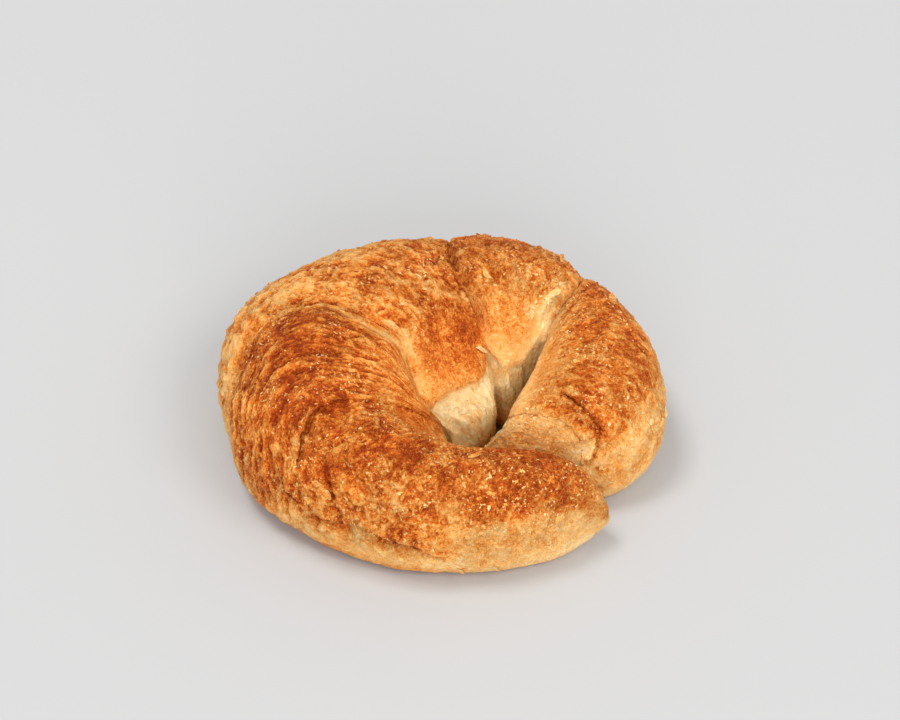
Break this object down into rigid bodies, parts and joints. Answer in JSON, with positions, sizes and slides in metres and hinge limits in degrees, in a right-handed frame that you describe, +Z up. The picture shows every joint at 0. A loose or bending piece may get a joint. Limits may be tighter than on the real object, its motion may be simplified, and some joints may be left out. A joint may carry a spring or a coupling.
{
  "type": "croissant",
  "caption": "Baked croissant of rolled laminated dough, curled almost shut, with one tip passing in front of the other, resting on its flat base.",
  "frame": {"origin": "middle of the footprint's bounding box, on the plane of the flat base", "axes": "+Z up; +X along the longest extent, from the thick belly towards the side where the two tips overlap; +Y from the front arm towards the back of the curl"},
  "size_m": [0.14, 0.1192, 0.0524],
  "materials": {
    "crust": "golden-brown flaky crust, egg-washed to a soft satin, pale in the folds and round the base"
  },
  "bodies": {
    "root": {"croissant": "crust"}
  },
  "joints": []
}
